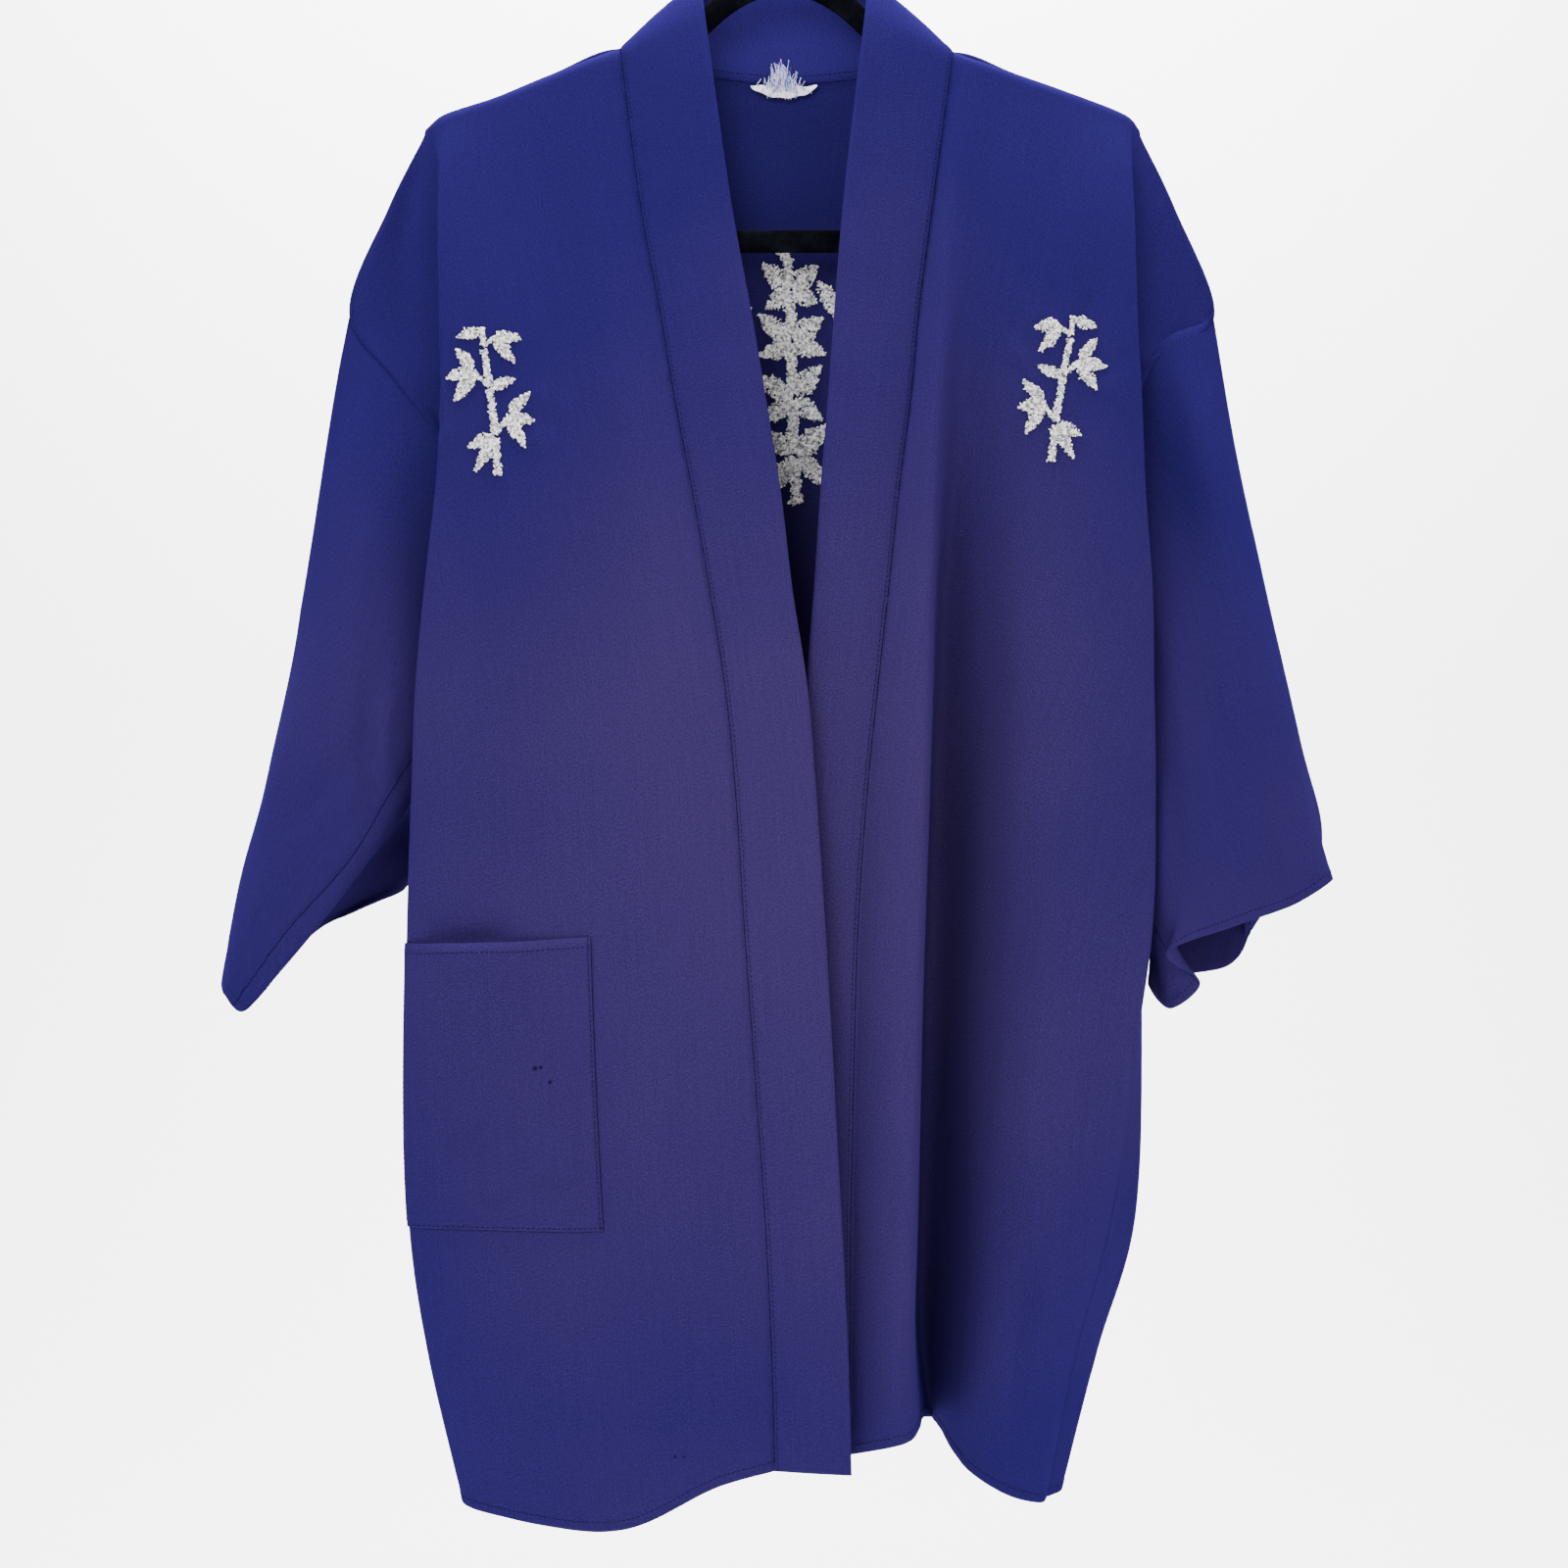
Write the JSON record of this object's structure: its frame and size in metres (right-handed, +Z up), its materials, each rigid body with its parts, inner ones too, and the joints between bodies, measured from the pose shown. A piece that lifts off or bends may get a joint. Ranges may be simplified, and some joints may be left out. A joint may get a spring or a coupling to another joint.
{
  "type": "haori on hanger",
  "caption": "Satin haori hanging open on a flocked coat hanger, with wide sleeves, a long band collar and a patch pocket.",
  "frame": {"origin": "inside of the top of the hanger's hook, where the hook sits on its rail", "axes": "+X to the viewer's right, -Y out of the front of the coat, +Z up"},
  "size_m": [0.6804, 0.1363, 1.0201],
  "materials": {
    "satin": "blue-violet polyester satin",
    "label_cloth": "woven label cloth, frayed",
    "flock": "black flocked plastic",
    "hook_steel": "polished"
  },
  "bodies": {
    "root": {"right_front": "satin", "left_front": "satin", "back": "satin", "right_sleeve": "satin", "left_sleeve": "satin", "collar": "satin", "pocket": "satin", "label_stub": "label_cloth", "hanger_body": "flock", "hanger_hook": "hook_steel"}
  },
  "joints": []
}
